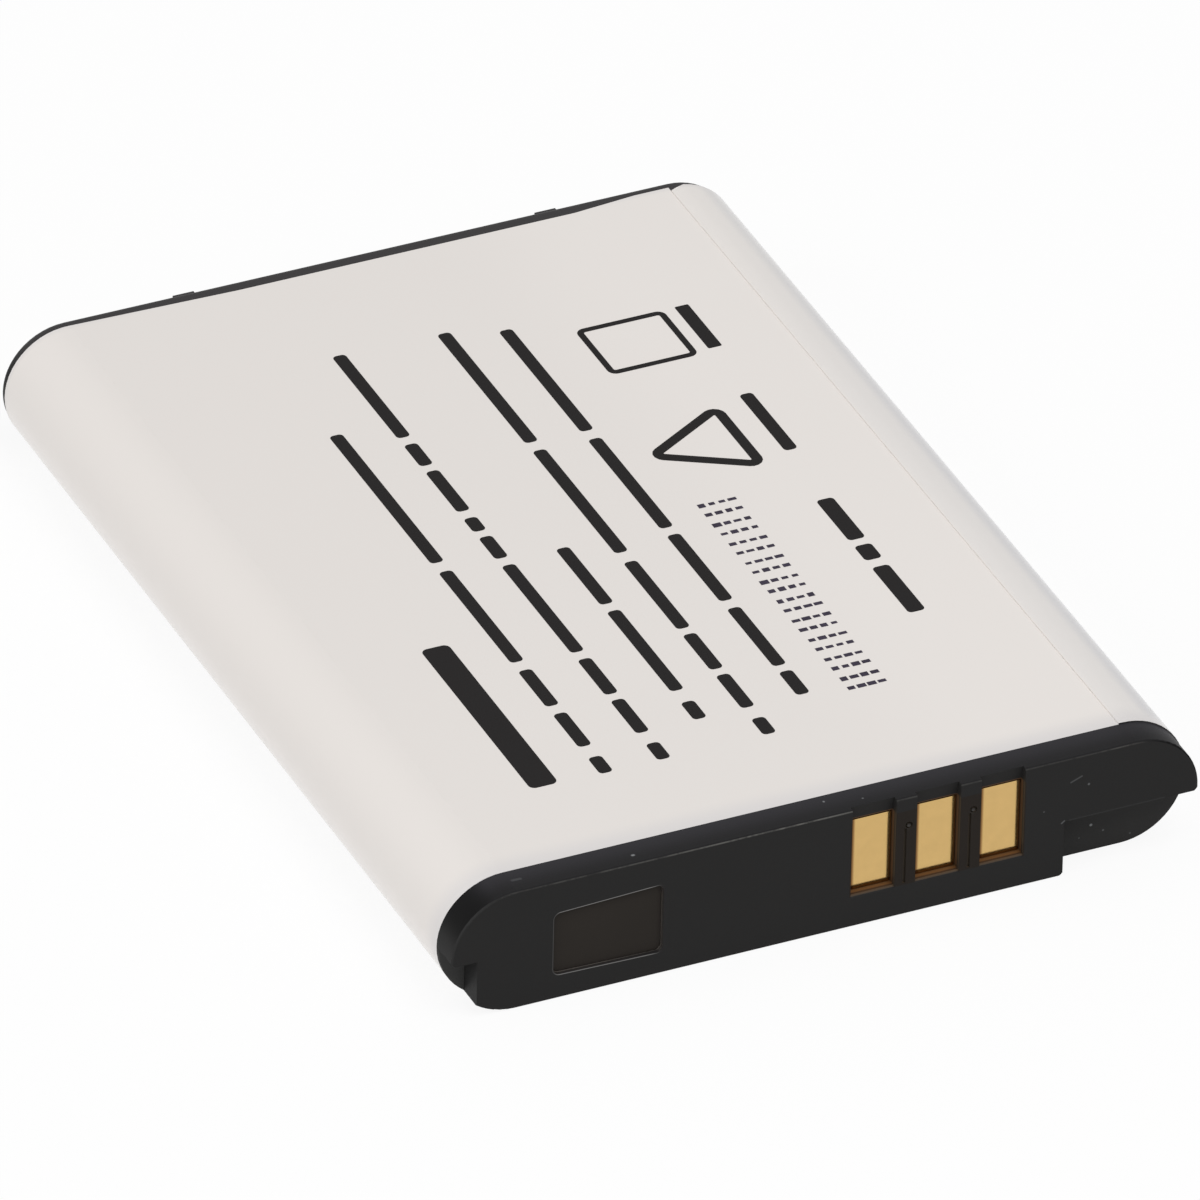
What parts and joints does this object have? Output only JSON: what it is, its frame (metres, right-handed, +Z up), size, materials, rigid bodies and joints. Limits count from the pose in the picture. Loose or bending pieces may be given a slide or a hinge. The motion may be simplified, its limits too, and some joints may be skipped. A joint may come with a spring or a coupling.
{
  "type": "console battery pack",
  "caption": "Slim removable lithium-ion pack with half-round sides, a film wrap, a black moulded end with recessed gold contacts and a black rear cover.",
  "frame": {"origin": "middle of the footprint, on the flat plain side that the pack lies on", "axes": "+X across the width, +Y from the contact end to the rear cover, +Z up through the printed side"},
  "size_m": [0.035, 0.0484, 0.0061],
  "materials": {
    "moulded_black": "fine-grained front face, smoother sides",
    "gold_plate": "gold-plated, brushed lightly by use",
    "wrap_film": "glossy off-white film",
    "recess_film": "dull brown film",
    "can_aluminium": "drawn aluminium",
    "nickel": "bright nickel strip",
    "board_laminate": "green solder mask",
    "chip_moulding": "moulded epoxy",
    "component_ceramic": "fired ceramic",
    "insulating_sheet": "fibre sheet",
    "gasket_polymer": "moulded polymer",
    "tape": "double-sided tape"
  },
  "bodies": {
    "root": {"front_cap": "moulded_black", "rear_cover": "moulded_black", "label_wrap": "wrap_film", "recess_film": "recess_film", "contact_left": "gold_plate", "contact_middle": "gold_plate", "contact_right": "gold_plate", "circuit_board": "board_laminate", "switch_chip": "chip_moulding", "protection_chip": "chip_moulding", "supply_resistor": "component_ceramic", "filter_capacitor": "component_ceramic", "sense_resistor": "component_ceramic", "thermistor": "component_ceramic", "cell_can": "can_aluminium", "terminal_gasket": "gasket_polymer", "terminal_rivet": "nickel", "fill_plug": "can_aluminium", "clad_plate": "nickel", "lid_insulator": "insulating_sheet", "positive_tab": "nickel", "negative_link": "nickel", "negative_tab": "nickel", "thermal_cutoff": "chip_moulding", "rear_tape": "tape"}
  },
  "joints": []
}
